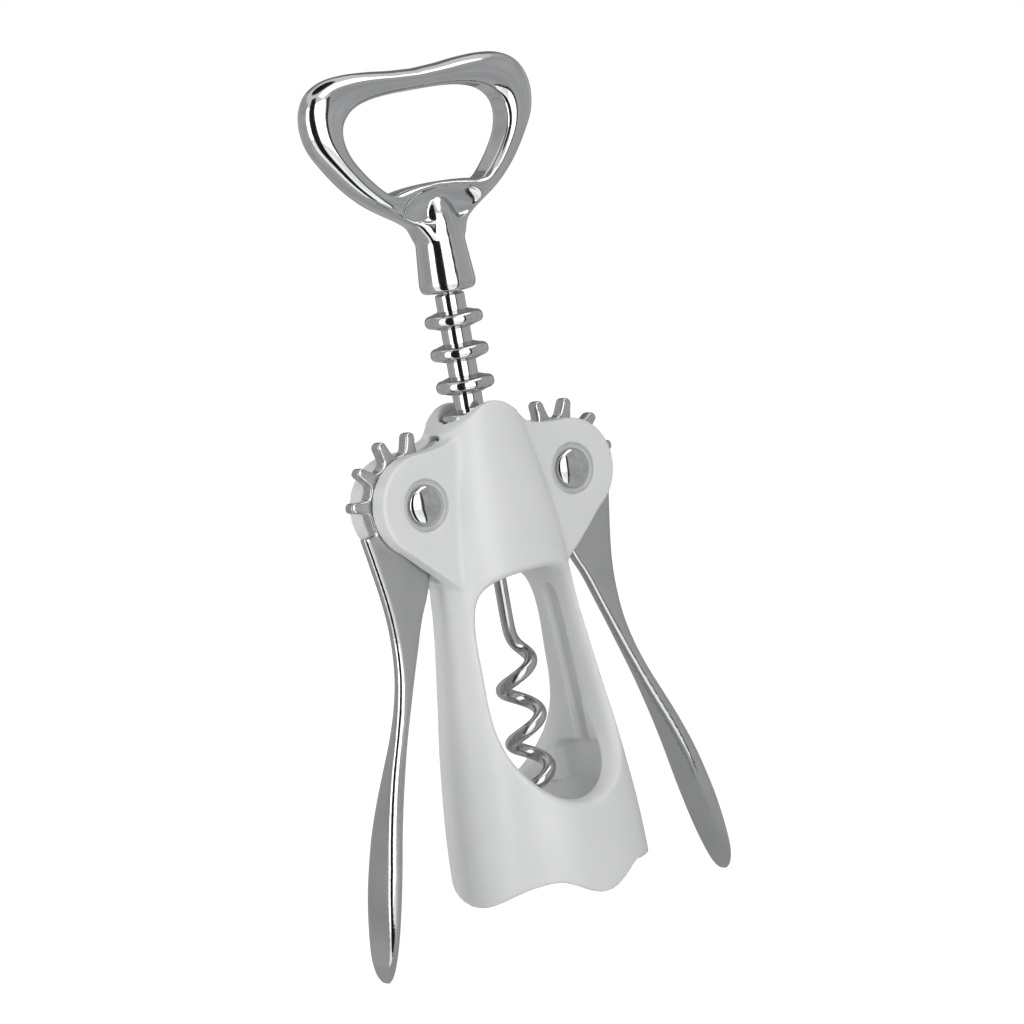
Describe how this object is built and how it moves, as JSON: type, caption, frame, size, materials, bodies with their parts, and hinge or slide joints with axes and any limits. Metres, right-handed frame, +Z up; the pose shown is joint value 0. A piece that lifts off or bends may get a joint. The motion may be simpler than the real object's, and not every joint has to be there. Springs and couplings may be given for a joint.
{
  "type": "wing corkscrew",
  "caption": "Wing corkscrew: a moulded bell-shaped body with windows, geared levers that lift a ringed rack, a wire worm and a loop handle with a cap lifter.",
  "frame": {"origin": "on the tool's axis, level with the ledge inside the bell that stops on a bottle's mouth", "axes": "+Z up the tool's axis towards the handle, the levers left and right along X, the front face towards -Y"},
  "size_m": [0.0924, 0.0402, 0.1843],
  "materials": {
    "white_plastic": "smooth moulded white plastic",
    "chrome_plate": "polished chrome plating on cast metal",
    "steel_wire": "plain drawn steel"
  },
  "bodies": {
    "frame": {"body": "white_plastic", "pivot_pin_left": "steel_wire", "pivot_pin_right": "steel_wire", "cap_left_front": "chrome_plate", "cap_left_back": "chrome_plate", "cap_right_front": "chrome_plate", "cap_right_back": "chrome_plate"},
    "rack": {"rack": "chrome_plate"},
    "handle_and_worm": {"handle": "chrome_plate", "worm": "steel_wire"},
    "left_lever": {"lever_left": "chrome_plate"},
    "right_lever": {"lever_right": "chrome_plate"}
  },
  "joints": [
    {"name": "rack_slide", "type": "slide", "parent": "frame", "child": "rack", "axis": [0, 0, 1], "range_m": [-0.0315, 0]},
    {"name": "handle_spin", "type": "hinge", "parent": "rack", "child": "handle_and_worm", "pos_m": [0, 0, 0.0668], "axis": [0, 0, 1], "continuous": true},
    {"name": "left_lever_pivot", "type": "hinge", "parent": "frame", "child": "left_lever", "pos_m": [-0.01925, 0, 0.0668], "axis": [0, 1, 0], "range_deg": [0, 137]},
    {"name": "right_lever_pivot", "type": "hinge", "parent": "frame", "child": "right_lever", "pos_m": [0.01925, 0, 0.0668], "axis": [0, 1, 0], "range_deg": [-137, 0]}
  ],
  "couplings": [
    {"joint": "left_lever_pivot", "follows": "rack_slide", "rad_per_m": -75.883},
    {"joint": "right_lever_pivot", "follows": "rack_slide", "rad_per_m": 75.883}
  ]
}
